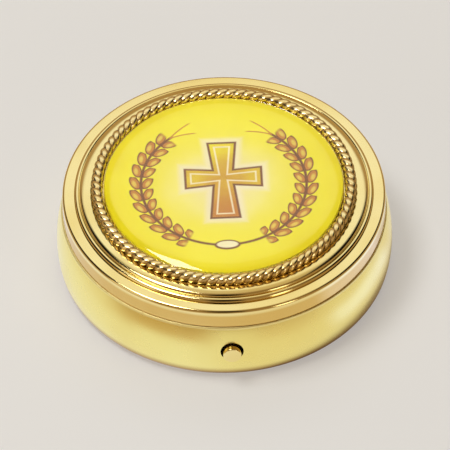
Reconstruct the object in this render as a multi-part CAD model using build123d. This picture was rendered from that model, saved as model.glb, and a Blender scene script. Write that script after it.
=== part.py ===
from build123d import *
import os
from math import acos, asin, atan, atan2, cos, degrees, hypot, pi, radians, sin, sqrt

# Pyx: a round box with a hinged lid and a push button latch.
# Millimetres. Z is up, the button faces -Y, the hinge is at +Y, the origin is the middle of the underside.

# Base shell
rim_radius = 26.2           # outside of the rim that the lid closes on
rim_height = 11.05          # underside to rim
rim_round = 0.2             # rounding of the rim's outer edge
belly_bulge = 0.8           # how far the belly stands outside the rim
belly_height = 4.8          # height of the widest ring
belly_sweep = 16.0          # radius of the side below the widest ring
foot_round = 1.7            # rounding between side and underside
base_wall = 0.75            # sheet of the base shell
neck_wall = 1.05            # wall at the rim
neck_depth = 2.6            # length of the straight bore under the flange seat
neck_cone = 0.75            # height of the slope between that bore and the belly

# Base liner
liner_wall = 0.5            # sheet of the inner cup
liner_flange = 0.5          # thickness of the flange round the mouth
flange_ledge = 0.3          # width of the ledge that the flange sits on
liner_lift = 0.25           # gap between liner floor and shell floor
liner_corner = 2.0          # rounding inside the foot of the cup
mouth_round = 0.3           # rounding of the cup's mouth

# Lid shell
lid_setback = 0.2           # lid wall inside the rim
lid_wall = 0.6              # sheet of the lid
parting_gap = 0.1           # gap between lid and rim when closed
skirt_height = 3.5          # lid edge to wide ring
skirt_round = 0.45          # rounding at the top of the lid wall
band_width = 1.45           # flat of the wide ring
band_crown = 0.02           # swell of that flat
bead_radius = 0.52          # bead between the two rings
bead_lift = 0.04            # upright below the bead
bead_ledge = 0.33           # flat between bead and inner ring
crown_rise = 1.1            # wide ring to the top of the inner ring
crown_flat = 0.71           # flat of the inner ring beside the rope
crown_width = 0.93          # fall of the inner ring, up to its rounding
crown_slope = 20.0          # degrees that the inner ring falls outwards
crown_round = 0.5           # rounding of the inner ring's outer edge
pan_depth = 0.5             # inner ring to the floor of the pan
lid_liner_sheet = 0.45      # plate that closes the lid from below
lid_liner_gap = 0.1         # play round that plate
fitting_gap = 0.05          # tongue and hinge leaf to what lies above them

# Rope border and medallion
rope_diameter = 1.9         # over both strands
rope_edge_gap = 0.04        # rope to the edge of the pan, which it overhangs
rope_lay = 1.535            # length of one turn over the rope's diameter
strand_gap = 0.1            # room between the two strands
strand_sides = 6            # facets round a strand
strand_steps = 8            # facets along one turn
rope_seat = 0.02            # rope to the floor of the pan
rope_joint = 0.08           # gap where the rope's ends meet, at the back
medallion_margin = 0.1      # medallion to rope
tray_height = 1.0           # pan floor to the top of the tray
tray_sheet = 0.35           # sheet of the tray
tray_round = 0.3            # rounding of the tray's edge
picture_sheet = 0.2         # printed disc
dome_edge = 0.1             # upright edge of the clear dome
dome_shoulder = 4.0         # radius of its rounded rim
dome_shoulder_width = 2.0   # width of that rim
dome_rise = 0.35            # swell of the dome inside its rim

# Hinge
hinge_length = 10.0         # over all knuckles
middle_knuckle = 3.6        # length of the lid's knuckle
knuckle_gap = 0.1           # end play between knuckles
hinge_reach = 0.65          # axis outside the rim
hinge_sheet = 0.45          # leaf and strap
hinge_room = 0.12           # room round the knuckles
strap_room = 0.05           # room round a strap in its slot
pin_radius = 0.45           # hinge pin
pin_play = 0.03             # pin to knuckle bore
pin_head = 0.2              # domed end of the pin outside the knuckles
base_leaf_depth = 1.9       # leaf below the strap

# Latch
button_radius = 1.47        # head of the button
button_hole = 1.86          # hole in the shell
button_proud = 1.0          # face outside the belly
button_swell = 0.12         # swell of the face
button_round = 0.15         # rounding of the face's edge
button_travel = 0.8         # full press
stop_radius = 2.3           # flange that stops the button
stop_sheet = 0.5            # thickness of that flange
stop_gap = 0.1              # flange to shell at rest
stem_radius = 0.75          # stem behind the flange
stem_fit = 0.02             # stem to the holes of plate, strip and washer
stem_head_radius = 1.2      # peened end
stem_head = 0.25            # thickness of the peened end
washer_radius = 1.6         # washer under the peened end
washer_sheet = 0.25         # its thickness
catch_width = 4.8           # plate across
catch_foot = 2.1            # plate below the button's axis
catch_sheet = 0.5           # plate thickness
nose_width = 2.4            # nose across
nose_sheet = 0.6            # nose thickness
nose_ramp = 0.35            # slope on the nose's upper edge
nose_gap = 0.2              # nose to flange
nose_play = 0.2             # nose to the window's lower edge
nose_recess = 0.05          # nose tip inside the tongue's outer face
tongue_width = 4.4          # strip on the lid
tongue_sheet = 0.4          # its thickness
tongue_bar = 0.7            # bar below the window
tongue_window_room = 0.3    # window beyond the nose, to each side and above
tongue_room = 0.3           # tongue to the shell, and to its slot
tongue_gap = 0.25           # tongue to plate, and to the stop flange
tongue_pad_drop = 0.5       # pad above the flange
spring_sheet = 0.3          # spring strip
spring_width = 3.8          # strip height
spring_end = 2.3            # free end past the stem
spring_bend = 3.6           # bend before the stem
spring_bend_radius = 1.5    # radius of that bend
spring_root = 14.0          # degrees of the liner that the root covers
liner_room = 0.35           # peened end to liner when pressed

# Radii that follow
belly_radius = rim_radius + belly_bulge
neck_bore = rim_radius - neck_wall
seat_radius = neck_bore + flange_ledge
lid_radius = rim_radius - lid_setback
lid_bore = lid_radius - lid_wall
band_outer = lid_radius - skirt_round
band_inner = band_outer - band_width
bead_middle = band_inner - bead_radius
crown_foot = bead_middle - bead_ledge

# Heights that follow
ledge_height = rim_height - liner_flange
neck_bottom = ledge_height - neck_depth
lid_bottom = rim_height + parting_gap
band_height = lid_bottom + skirt_height
bead_height = band_height + bead_lift
bead_top = bead_height + bead_radius
crown_height = band_height + crown_rise
pan_floor = crown_height - pan_depth
pan_under = pan_floor - lid_wall
band_under = band_height - lid_wall
lid_liner_under = band_under - lid_liner_sheet
rope_height = pan_floor + rope_diameter / 2 + rope_seat
tray_top = pan_floor + tray_height
picture_top = tray_top + picture_sheet
nose_top = ledge_height - nose_gap
nose_bottom = nose_top - nose_sheet
window_bottom = nose_bottom - nose_play
tongue_bottom = window_bottom - tongue_bar
button_height = tongue_bottom - tongue_gap - stop_radius
fitting_top = lid_liner_under - fitting_gap

# The inner ring falls on one arc, and its outer edge turns down on a second that ends on the bead's ledge
crown_swell = crown_width / sin(radians(crown_slope))
crown_fall = crown_swell * (1 - cos(radians(crown_slope)))
crown_middle_height = crown_height - crown_fall - crown_round * cos(radians(crown_slope))
crown_end = degrees(asin((bead_top - crown_middle_height) / crown_round))
crown_middle = crown_foot - crown_round * cos(radians(crown_end))
fall_start = crown_middle + crown_round * sin(radians(crown_slope)) - crown_width
pan_radius = fall_start - crown_flat
rope_to_edge = rope_diameter / 2 + rope_edge_gap
rope_radius = pan_radius - sqrt(rope_to_edge**2 - (rope_height - crown_height) ** 2)
medallion_radius = rope_radius - rope_diameter / 2 - medallion_margin

# Depths of the latch, measured from the axis of the box towards the front
tongue_front = sqrt((neck_bore - tongue_room) ** 2 - (tongue_width / 2) ** 2)
tongue_back = tongue_front - tongue_sheet
catch_front = tongue_back - tongue_gap
catch_back = catch_front - catch_sheet
spring_back = catch_back - spring_sheet
washer_back = spring_back - washer_sheet
stem_end = washer_back - stem_head
stop_front = neck_bore - stop_gap
stop_back = stop_front - stop_sheet
button_face = belly_radius + button_proud
liner_radius = stem_end - button_travel - liner_room
cup_radius = liner_radius - liner_wall

# Hinge axis and straps
axis_height = rim_height + parting_gap / 2
axis_depth = rim_radius + hinge_reach
strap_top = ledge_height - strap_room
knuckle_radius = axis_height - strap_top + hinge_sheet
lid_strap_bottom = axis_height + knuckle_radius - hinge_sheet
side_knuckle = (hinge_length - middle_knuckle) / 2 - knuckle_gap
side_knuckle_middle = (hinge_length - side_knuckle) / 2


def turned(*edges):
    """Solid of revolution about Z from the edges of a closed half section, given as radius and height."""
    return revolve(Plane.XZ * make_face(list(edges)), Axis.Z)


def ring(outer, inner, bottom, top):
    """Plain tube between two radii and two heights."""
    section = Pos((outer + inner) / 2, (bottom + top) / 2) * Rectangle(outer - inner, top - bottom)
    return revolve(Plane.XZ * section, Axis.Z)


def block(x, y, z):
    """Box between the limits of x, y and z, each given as a pair."""
    middle = Pos((x[0] + x[1]) / 2, (y[0] + y[1]) / 2, (z[0] + z[1]) / 2)
    return middle * Box(x[1] - x[0], y[1] - y[0], z[1] - z[0])


def rod(radius, front, back):
    """Round bar on the button's axis, between two distances in front of the box's axis."""
    bar = Cylinder(radius, front - back)
    return Pos(0, -(front + back) / 2, button_height) * Rot(90, 0, 0) * bar


def hinge_bar(radius, length):
    """Round bar on the hinge axis."""
    return Pos(0, axis_depth, axis_height) * Rot(0, 90, 0) * Cylinder(radius, length)


def make_base_shell():
    """Drawn cup: rounded foot, full belly and a rim with a ledge for the liner."""
    # The shoulder runs from the widest ring to the rim on one arc.
    climb = rim_height - rim_round - belly_height
    shoulder = (climb**2 + belly_bulge**2) / (2 * belly_bulge)
    shoulder_middle = belly_radius - shoulder
    shoulder_angle = degrees(asin(climb / shoulder))
    cone_angle = degrees(asin((neck_bottom - neck_cone - belly_height) / (shoulder - base_wall)))
    # The foot's rounding touches the underside and the long sweep of the side.
    sweep_middle = belly_radius - belly_sweep
    foot_middle = sweep_middle + sqrt((belly_sweep - foot_round) ** 2 - (belly_height - foot_round) ** 2)
    foot_angle = degrees(atan2(belly_height - foot_round, foot_middle - sweep_middle))

    outside = [
        Line((0, 0), (foot_middle, 0)),
        CenterArc((foot_middle, foot_round), foot_round, -90, 90 - foot_angle),
        CenterArc((sweep_middle, belly_height), belly_sweep, -foot_angle, foot_angle),
        CenterArc((shoulder_middle, belly_height), shoulder, 0, shoulder_angle),
        CenterArc((rim_radius - rim_round, rim_height - rim_round), rim_round, 0, 90),
    ]
    belly_inside = CenterArc((shoulder_middle, belly_height), shoulder - base_wall, cone_angle, -cone_angle)
    side_inside = CenterArc((sweep_middle, belly_height), belly_sweep - base_wall, 0, -foot_angle)
    foot_inside = CenterArc(
        (foot_middle, foot_round), foot_round - base_wall, -foot_angle, foot_angle - 90
    )
    inside = [
        Polyline(
            (rim_radius - rim_round, rim_height),
            (seat_radius, rim_height),
            (seat_radius, ledge_height),
            (neck_bore, ledge_height),
            (neck_bore, neck_bottom),
            belly_inside @ 0,
        ),
        belly_inside,
        side_inside,
        foot_inside,
        Line(foot_inside @ 1, (0, base_wall)),
        Line((0, base_wall), (0, 0)),
    ]
    shell = turned(*outside, *inside)
    shell -= rod(button_hole, button_face, stop_back)
    shell -= hinge_bar(knuckle_radius + hinge_room, hinge_length + 2 * knuckle_gap)
    for side in (-1, 1):
        middle = side * side_knuckle_middle
        half = side_knuckle / 2 + strap_room
        slot_bottom = strap_top - hinge_sheet - strap_room
        ends = (middle - half, middle + half)
        shell -= block(ends, (neck_bore / 2, axis_depth), (slot_bottom, rim_height))
    return shell


def make_base_liner():
    """Inner cup with a flange that sits on the shell's ledge, and a slot where the tongue comes down."""
    floor_bottom = base_wall + liner_lift
    floor_top = floor_bottom + liner_wall
    outer_corner = liner_corner + liner_wall
    cup = turned(
        Line((0, floor_bottom), (liner_radius - outer_corner, floor_bottom)),
        CenterArc((liner_radius - outer_corner, floor_bottom + outer_corner), outer_corner, -90, 90),
        Polyline(
            (liner_radius, floor_bottom + outer_corner),
            (liner_radius, ledge_height),
            (seat_radius, ledge_height),
            (seat_radius, rim_height),
            (cup_radius + mouth_round, rim_height),
        ),
        CenterArc((cup_radius + mouth_round, rim_height - mouth_round), mouth_round, 90, 90),
        Line((cup_radius, rim_height - mouth_round), (cup_radius, floor_top + liner_corner)),
        CenterArc((cup_radius - liner_corner, floor_top + liner_corner), liner_corner, 0, -90),
        Line((cup_radius - liner_corner, floor_top), (0, floor_top)),
        Line((0, floor_top), (0, floor_bottom)),
    )
    half = tongue_width / 2 + tongue_room
    cup -= block(
        (-half, half),
        (-tongue_front - tongue_room, -tongue_back + tongue_room),
        (ledge_height - liner_flange, rim_height + liner_flange),
    )
    return cup


def make_lid_shell():
    """Drawn cap: plain wall, wide ring, bead, rounded inner ring and a flat pan for the medallion."""
    skirt_top = band_height - skirt_round
    cap = turned(
        Line((lid_bore, lid_bottom), (lid_radius, lid_bottom)),
        Line((lid_radius, lid_bottom), (lid_radius, skirt_top)),
        CenterArc((band_outer, skirt_top), skirt_round, 0, 90),
        ThreePointArc(
            (band_outer, band_height),
            ((band_outer + band_inner) / 2, band_height + band_crown),
            (band_inner, band_height),
        ),
        Line((band_inner, band_height), (band_inner, bead_height)),
        CenterArc((bead_middle, bead_height), bead_radius, 0, 90),
        Line((bead_middle, bead_top), (crown_foot, bead_top)),
        CenterArc((crown_middle, crown_middle_height), crown_round, crown_end, 90 - crown_slope - crown_end),
        CenterArc((fall_start, crown_height - crown_swell), crown_swell, 90 - crown_slope, crown_slope),
        Polyline(
            (fall_start, crown_height),
            (pan_radius, crown_height),
            (pan_radius, pan_floor),
            (0, pan_floor),
            (0, pan_under),
            (pan_radius, pan_under),
            (crown_foot, band_under),
            (lid_bore, band_under),
            (lid_bore, lid_bottom),
        ),
    )
    cap -= hinge_bar(knuckle_radius + hinge_room, hinge_length + 2 * knuckle_gap)
    half = middle_knuckle / 2 + strap_room
    slot_top = lid_strap_bottom + hinge_sheet + strap_room
    cap -= block((-half, half), (lid_bore / 2, axis_depth), (lid_bottom, slot_top))
    return cap


def make_lid_liner():
    """Flat plate under the steps of the lid."""
    return ring(lid_bore - lid_liner_gap, 0, lid_liner_under, band_under)


def make_rope_strand(first_angle):
    """One wire of the rope border, wound about the ring in which the rope lies."""
    strand_radius = (rope_diameter - strand_gap) / 4
    winding = rope_diameter / 2 - strand_radius
    turns = round(2 * pi * rope_radius / (rope_lay * rope_diameter))
    steps = turns * strand_steps
    half_joint = degrees(rope_joint / 2 / rope_radius)
    # The section turns back as the wire winds on, so that the facets stay flat.
    turn_back = sin(atan(rope_radius / (turns * winding)))
    sections = []
    for step in range(steps + 1):
        round_angle = radians(90 + half_joint + (360 - 2 * half_joint) * step / steps)
        lay_angle = radians(first_angle) + 2 * pi * turns * step / steps
        outward = Vector(cos(round_angle), sin(round_angle), 0)
        along = Vector(-sin(round_angle), cos(round_angle), 0)
        up = Vector(0, 0, 1)
        from_axis = outward * cos(lay_angle) + up * sin(lay_angle)
        about_axis = up * cos(lay_angle) - outward * sin(lay_angle)
        middle = outward * rope_radius + up * rope_height + from_axis * winding
        heading = along * (rope_radius + winding * cos(lay_angle)) + about_axis * (winding * turns)
        across = heading.normalized().cross(from_axis)
        corners = []
        for side in range(strand_sides):
            corner_angle = 2 * pi * side / strand_sides + lay_angle * turn_back
            corner = from_axis * cos(corner_angle) + across * sin(corner_angle)
            corners.append(middle + corner * strand_radius)
        sections.append(Wire.make_polygon(corners))
    return Solid.make_loft(sections, ruled=True)


def make_picture_tray():
    """Shallow upturned dish that lifts the picture to the rope."""
    tray = ring(medallion_radius, 0, pan_floor, tray_top)
    tray = fillet(tray.edges().group_by(Axis.Z)[-1], tray_round)
    return tray - ring(medallion_radius - tray_sheet, 0, pan_floor, tray_top - tray_sheet)


def make_picture_disc():
    """Printed disc on the flat of the tray."""
    return ring(medallion_radius - tray_round, 0, tray_top, picture_top)


def make_clear_dome():
    """Clear cap, flat below, gently swelled above, with a rounded rim."""
    shoulder_foot = picture_top + dome_edge
    cap_radius = medallion_radius - dome_shoulder_width
    swell = (cap_radius**2 + dome_rise**2) / (2 * dome_rise)
    cap_slope = degrees(asin(cap_radius / swell))
    rim_slope = degrees(asin(cap_radius / swell + dome_shoulder_width / dome_shoulder))
    shoulder_middle = medallion_radius - dome_shoulder * sin(radians(rim_slope))
    shoulder_height = shoulder_foot - dome_shoulder * cos(radians(rim_slope))
    shoulder = CenterArc(
        (shoulder_middle, shoulder_height), dome_shoulder, 90 - rim_slope, rim_slope - cap_slope
    )
    top = (shoulder @ 1).Y + dome_rise
    return turned(
        Polyline(
            (0, top), (0, picture_top), (medallion_radius, picture_top), (medallion_radius, shoulder_foot)
        ),
        shoulder,
        CenterArc((0, top - swell), swell, 90 - cap_slope, cap_slope),
    )


def make_hinge_leaf(bore, leaf_bottom, leaf_top, strap_bottom, knuckles):
    """Leaf curved to the wall that carries it, with a strap to each knuckle, given as middle and length."""
    leaf_face = bore - hinge_sheet
    leaf = ring(bore, leaf_face, leaf_bottom, leaf_top)
    leaf &= block(
        (-hinge_length / 2, hinge_length / 2), (0, bore), (leaf_bottom, leaf_top)
    )
    inside = Pos(0, 0, strap_bottom) * Cylinder(leaf_face, 2 * rim_height)
    for middle, length in knuckles:
        ends = (middle - length / 2, middle + length / 2)
        strap = block(ends, (bore / 2, axis_depth), (strap_bottom, strap_bottom + hinge_sheet))
        leaf += strap - inside
        leaf += Pos(middle, 0, 0) * hinge_bar(knuckle_radius, length)
    return leaf - hinge_bar(pin_radius + pin_play, 2 * hinge_length)


def make_hinge_base_leaf():
    """Leaf in the neck of the base, with the two outer knuckles."""
    knuckles = [(-side_knuckle_middle, side_knuckle), (side_knuckle_middle, side_knuckle)]
    strap_bottom = strap_top - hinge_sheet
    return make_hinge_leaf(neck_bore, strap_bottom - base_leaf_depth, strap_top, strap_bottom, knuckles)


def make_hinge_lid_leaf():
    """Leaf in the wall of the lid, with the middle knuckle."""
    knuckles = [(0, middle_knuckle)]
    return make_hinge_leaf(lid_bore, lid_strap_bottom, fitting_top, lid_strap_bottom, knuckles)


def make_hinge_pin():
    """Pin through the three knuckles, with domed ends."""
    pin = hinge_bar(pin_radius, hinge_length + 2 * pin_head)
    return fillet(pin.edges().filter_by(GeomType.CIRCLE), pin_head)


def make_push_button():
    """Turned button: swelled head, stop flange, spacing collar, stem and peened end."""
    rim = button_radius - button_round
    ball = (rim**2 + button_swell**2) / (2 * button_swell)
    edge_slope = degrees(asin(rim / ball))
    shoulder = button_face - button_swell - button_round
    section = [
        Polyline(
            (0, button_face),
            (0, stem_end),
            (stem_head_radius, stem_end),
            (stem_head_radius, washer_back),
            (stem_radius, washer_back),
            (stem_radius, catch_front),
            (button_radius, catch_front),
            (button_radius, stop_back),
            (stop_radius, stop_back),
            (stop_radius, stop_front),
            (button_radius, stop_front),
            (button_radius, shoulder),
        ),
        CenterArc((rim, shoulder), button_round, 0, 90),
        CenterArc((0, button_face - ball), ball, 90 - edge_slope, edge_slope),
    ]
    button = turned(*section)
    return Pos(0, 0, button_height) * Rot(90, 0, 0) * button


def make_latch_catch():
    """Stamped plate on the stem, with a ramped nose that reaches into the tongue's window."""
    plate = block(
        (-catch_width / 2, catch_width / 2),
        (-catch_front, -catch_back),
        (button_height - catch_foot, tongue_bottom),
    )
    plate = fillet(plate.edges().filter_by(Axis.Y), catch_sheet)
    neck = block(
        (-nose_width / 2, nose_width / 2), (-catch_front, -catch_back), (button_height, nose_top)
    )
    nose = block(
        (-nose_width / 2, nose_width / 2),
        (-tongue_front + nose_recess, -catch_back),
        (nose_bottom, nose_top),
    )
    upper_tip = nose.edges().filter_by(Axis.X).group_by(Axis.Y)[0].sort_by(Axis.Z)[-1]
    nose = chamfer(upper_tip, nose_ramp)
    return plate + neck + nose - rod(stem_radius + stem_fit, button_face, 0)


def make_latch_spring():
    """Spring strip: its root follows the liner, its free end lies square on the button's stem."""
    path_radius = liner_radius + spring_sheet / 2
    path_depth = catch_back - spring_sheet / 2
    corner_distance = hypot(spring_bend, path_depth)
    root_angle = degrees(atan2(spring_bend, path_depth) + acos(path_radius / corner_distance))
    root_start = (path_radius * sin(radians(root_angle)), -path_radius * cos(radians(root_angle)))
    arm = FilletPolyline(
        (-spring_end, -path_depth), (spring_bend, -path_depth), root_start, radius=spring_bend_radius
    )
    root = CenterArc((0, 0), path_radius, root_angle - 90, spring_root)
    strip = extrude(trace(arm + root, spring_sheet), spring_width)
    strip = Pos(0, 0, button_height - spring_width / 2) * strip
    return strip - rod(stem_radius + stem_fit, button_face, 0)


def make_stem_washer():
    """Washer between the spring strip and the peened end of the stem."""
    washer = rod(washer_radius, spring_back, washer_back)
    return washer - rod(stem_radius + stem_fit, button_face, 0)


def make_lid_tongue():
    """Strip inside the lid's wall: a pad on the wall, and below it a window for the nose."""
    half = tongue_width / 2
    strip = block((-half, half), (-tongue_front, -tongue_back), (tongue_bottom, fitting_top))
    corners = strip.edges().filter_by(Axis.Y).group_by(Axis.Z)[0]
    strip = fillet(corners, tongue_sheet)
    pad_bottom = lid_bottom + tongue_pad_drop
    pad = block((-half, half), (-lid_radius, -tongue_back), (pad_bottom, fitting_top))
    pad &= ring(lid_bore, 0, pad_bottom, fitting_top)
    window_half = nose_width / 2 + tongue_window_room
    window = block(
        (-window_half, window_half),
        (-tongue_front, -tongue_back),
        (window_bottom, nose_top + tongue_window_room),
    )
    return strip + pad - window


pieces = {
    "base_shell": make_base_shell(),
    "base_liner": make_base_liner(),
    "hinge_base_leaf": make_hinge_base_leaf(),
    "hinge_pin": make_hinge_pin(),
    "latch_spring": make_latch_spring(),
    "push_button": make_push_button(),
    "latch_catch": make_latch_catch(),
    "stem_washer": make_stem_washer(),
    "lid_shell": make_lid_shell(),
    "lid_liner": make_lid_liner(),
    "rope_strand_a": make_rope_strand(0),
    "rope_strand_b": make_rope_strand(180),
    "picture_tray": make_picture_tray(),
    "picture_disc": make_picture_disc(),
    "clear_dome": make_clear_dome(),
    "lid_tongue": make_lid_tongue(),
    "hinge_lid_leaf": make_hinge_lid_leaf(),
}

os.makedirs("parts", exist_ok=True)
for name, piece in pieces.items():
    export_step(piece, f"parts/{name}.step")

print("hinge axis", axis_depth, axis_height)
print("button axis", button_height, "face", button_face)
print("cup radius", cup_radius, "top of rope", rope_height + rope_diameter / 2)
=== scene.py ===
import bmesh
import bpy
from math import acos, asin, atan2, ceil, cos, degrees, hypot, pi, radians, sin, sqrt
from mathutils import Matrix, Vector


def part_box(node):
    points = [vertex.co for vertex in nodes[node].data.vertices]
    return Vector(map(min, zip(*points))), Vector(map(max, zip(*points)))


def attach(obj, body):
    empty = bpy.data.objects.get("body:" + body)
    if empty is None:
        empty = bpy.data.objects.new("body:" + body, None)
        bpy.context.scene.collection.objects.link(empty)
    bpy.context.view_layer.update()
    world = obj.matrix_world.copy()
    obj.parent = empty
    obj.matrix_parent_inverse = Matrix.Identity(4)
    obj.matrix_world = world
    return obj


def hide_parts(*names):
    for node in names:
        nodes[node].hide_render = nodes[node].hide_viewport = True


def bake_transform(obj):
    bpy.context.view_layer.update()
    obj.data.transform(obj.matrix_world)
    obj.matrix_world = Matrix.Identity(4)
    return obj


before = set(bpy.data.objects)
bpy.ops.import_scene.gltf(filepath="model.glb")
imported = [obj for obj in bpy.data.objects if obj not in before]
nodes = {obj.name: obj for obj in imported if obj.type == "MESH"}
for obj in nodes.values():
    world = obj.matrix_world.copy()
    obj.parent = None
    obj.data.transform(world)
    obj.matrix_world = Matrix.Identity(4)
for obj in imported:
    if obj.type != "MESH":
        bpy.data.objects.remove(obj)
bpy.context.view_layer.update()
mm = 0.001
sameSpot = 1e-4         # millimetres between points that count as one
cutRoom = 0.5           # millimetres that a cutter reaches past its wall
print("frame loaded:", len(nodes), "nodes")


# Shader maths: a wire is one socket, and sums on wires add their nodes
class Wire:
    def __init__(self, tree, socket=None):
        self.tree = tree
        self.socket = socket

    def make(self, kind, settings, sockets, output=0):
        node = self.tree.nodes.new(kind)
        for name, value in settings.items():
            setattr(node, name, value)
        for name, value in sockets.items():
            if isinstance(value, Wire):
                self.tree.links.new(value.socket, node.inputs[name])
            else:
                node.inputs[name].default_value = value
        return Wire(self.tree, node.outputs[output] if len(node.outputs) else None)

    def other(self, name):
        return Wire(self.tree, self.socket.node.outputs[name])

    def maths(self, operation, *values):
        return self.make("ShaderNodeMath", {"operation": operation}, dict(enumerate(values)))

    def __add__(self, value):
        return self.maths("ADD", self, value)

    def __sub__(self, value):
        return self.maths("SUBTRACT", self, value)

    def __rsub__(self, value):
        return self.maths("SUBTRACT", value, self)

    def __mul__(self, value):
        return self.maths("MULTIPLY", self, value)

    def __truediv__(self, value):
        return self.maths("DIVIDE", self, value)

    def __rtruediv__(self, value):
        return self.maths("DIVIDE", value, self)

    def __mod__(self, value):
        return self.maths("FLOORED_MODULO", self, value)

    def __pow__(self, value):
        return self.maths("POWER", self, value)

    def __abs__(self):
        return self.maths("ABSOLUTE", self)

    def __neg__(self):
        return self.maths("MULTIPLY", self, -1)

    __radd__ = __add__
    __rmul__ = __mul__

    def step(self, low, high):  # 0 below low, 1 above high, smooth between
        sockets = {"Value": self, "From Min": low, "From Max": high}
        return self.make("ShaderNodeMapRange", {"interpolation_type": "SMOOTHSTEP"}, sockets)

    def between(self, first, second):  # this wire mixes two colours
        return self.make("ShaderNodeMix", {"data_type": "RGBA"}, {0: self, 6: first, 7: second}, 2)

    def least(self, value):
        return self.maths("MINIMUM", self, value)

    def most(self, value):
        return self.maths("MAXIMUM", self, value)


def length2(x, y):  # length of a flat vector
    return (x * x + y * y) ** 0.5


def noise(sheet, place, scale, detail):
    return sheet.make("ShaderNodeTexNoise", {}, {"Vector": place, "Scale": scale, "Detail": detail})


def newMaterial(name):
    material = bpy.data.materials.new(name)
    material.use_nodes = True
    material.node_tree.nodes.clear()
    return material, Wire(material.node_tree)


def finishMaterial(sheet, shader):
    sheet.make("ShaderNodeOutputMaterial", {}, {"Surface": shader})


def colour(red, green, blue):  # screen values 0 to 255, as linear light
    def light(value):
        share = value / 255
        return share / 12.92 if share <= 0.04045 else ((share + 0.055) / 1.055) ** 2.4
    return (light(red), light(green), light(blue), 1)


# Mesh helpers: half sections are lists of (radius, height) in millimetres
def arc(middle, radius, start, end, step=5):  # points on an arc, angles in degrees
    count = max(2, ceil(abs(end - start) / step))
    points = []
    for index in range(count + 1):
        angle = radians(start + (end - start) * index / count)
        points.append((middle[0] + radius * cos(angle), middle[1] + radius * sin(angle)))
    return points


def line(start, end, parts):  # points along a straight run, without its last one
    points = []
    for index in range(parts):
        share = index / parts
        points.append((start[0] + (end[0] - start[0]) * share, start[1] + (end[1] - start[1]) * share))
    return points


def withoutRepeats(points):
    kept = []
    for point in points:
        if not kept or hypot(point[0] - kept[-1][0], point[1] - kept[-1][1]) > sameSpot:
            kept.append(point)
    if hypot(kept[0][0] - kept[-1][0], kept[0][1] - kept[-1][1]) < sameSpot:
        kept.pop()
    return kept


def meshObject(name, points, faces):
    mesh = bpy.data.meshes.new(name)
    mesh.from_pydata(points, [], faces)
    mesh.validate()
    piece = bpy.data.objects.new(name, mesh)
    bpy.context.collection.objects.link(piece)
    shape = bmesh.new()
    shape.from_mesh(mesh)
    bmesh.ops.recalc_face_normals(shape, faces=shape.faces)
    shape.to_mesh(mesh)
    shape.free()
    return piece


def turnedPiece(name, section, segments, place=Matrix.Identity(4)):  # closed section turned about Z
    section = withoutRepeats(section)
    points = []
    rows = []
    for radius, height in section:
        row = []
        for index in range(segments if radius > sameSpot else 1):
            angle = 2 * pi * index / segments
            row.append(len(points))
            points.append(place @ Vector((radius * cos(angle) * mm, radius * sin(angle) * mm, height * mm)))
        rows.append(row)
    faces = []
    for row, following in zip(rows, rows[1:] + rows[:1]):
        for index in range(segments):
            after = (index + 1) % segments
            corners = [row[index % len(row)], row[after % len(row)]]
            corners += [following[after % len(following)], following[index % len(following)]]
            corners = list(dict.fromkeys(corners))
            if len(corners) > 2:
                faces.append(corners)
    return meshObject(name, points, faces)


def alongAxis(axis, middle):  # place of a turned piece whose own Z lies along the axis
    turn = Vector((0, 0, 1)).rotation_difference(Vector(axis)).to_matrix().to_4x4()
    return Matrix.Translation(Vector(middle) * mm) @ turn


def barAlong(name, axis, radius, start, end, middle, segments=96):  # plain round bar used for cutting
    section = [(0, start), (radius, start), (radius, end), (0, end)]
    return turnedPiece(name, section, segments, alongAxis(axis, middle))


def boxBetween(name, low, high):
    points = []
    for index in range(8):
        points.append([(high if index >> side & 1 else low)[side] * mm for side in range(3)])
    faces = [(0, 1, 3, 2), (4, 5, 7, 6), (0, 1, 5, 4), (2, 3, 7, 6), (0, 2, 6, 4), (1, 3, 7, 5)]
    return meshObject(name, points, faces)


def cutAway(piece, cutters):
    for cutter in cutters:
        change = piece.modifiers.new("cut", "BOOLEAN")
        change.operation = "DIFFERENCE"
        change.solver = "EXACT"
        change.object = cutter
    bpy.context.view_layer.update()
    seen = piece.evaluated_get(bpy.context.evaluated_depsgraph_get())
    mesh = bpy.data.meshes.new_from_object(seen)
    piece.modifiers.clear()
    piece.data = mesh
    for cutter in cutters:
        bpy.data.objects.remove(cutter)


def smoothPiece(piece, limit=32):  # smooth shading, with edges sharper than the limit left crisp
    piece.data.shade_smooth()
    piece.data.set_sharp_from_angle(angle=radians(limit))


def dress(piece, material):
    piece.data.materials.clear()
    piece.data.materials.append(material)


def standFor(piece, node, body):
    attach(piece, body)
    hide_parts(node)


# Gilt finishes: tone drifts over the metal, handling dulls it in smudges, and fine pores break it up
giltSpread = {
    "drift": (0.35, 0.7),
    "smudge": (0.4, 0.75),
    "poreDulling": 0.4,     # share of the smudges' dulling
}


def giltWires(sheet, finish):
    place = sheet.make("ShaderNodeTexCoord", {}, {}, "Object")
    drift = noise(sheet, place, finish["driftScale"], 3)
    smudge = noise(sheet, place, finish["smudgeScale"], 6)
    pores = noise(sheet, place, finish["poreScale"], 2)
    tone = drift.step(*giltSpread["drift"]).between(finish["colour"], finish["deep"])
    dulled = smudge.step(*giltSpread["smudge"]) + pores * giltSpread["poreDulling"]
    rough = finish["roughness"] + dulled * finish["dulling"]
    relief = drift * finish["waviness"] + pores * finish["poreDepth"]
    return place, tone, rough, relief


def giltShader(sheet, tone, rough, relief):
    bump = sheet.make("ShaderNodeBump", {}, {"Height": relief, "Distance": mm, "Strength": 1})
    sockets = {"Base Color": tone, "Metallic": 1, "Roughness": rough, "Normal": bump}
    return sheet.make("ShaderNodeBsdfPrincipled", {}, sockets)


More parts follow.
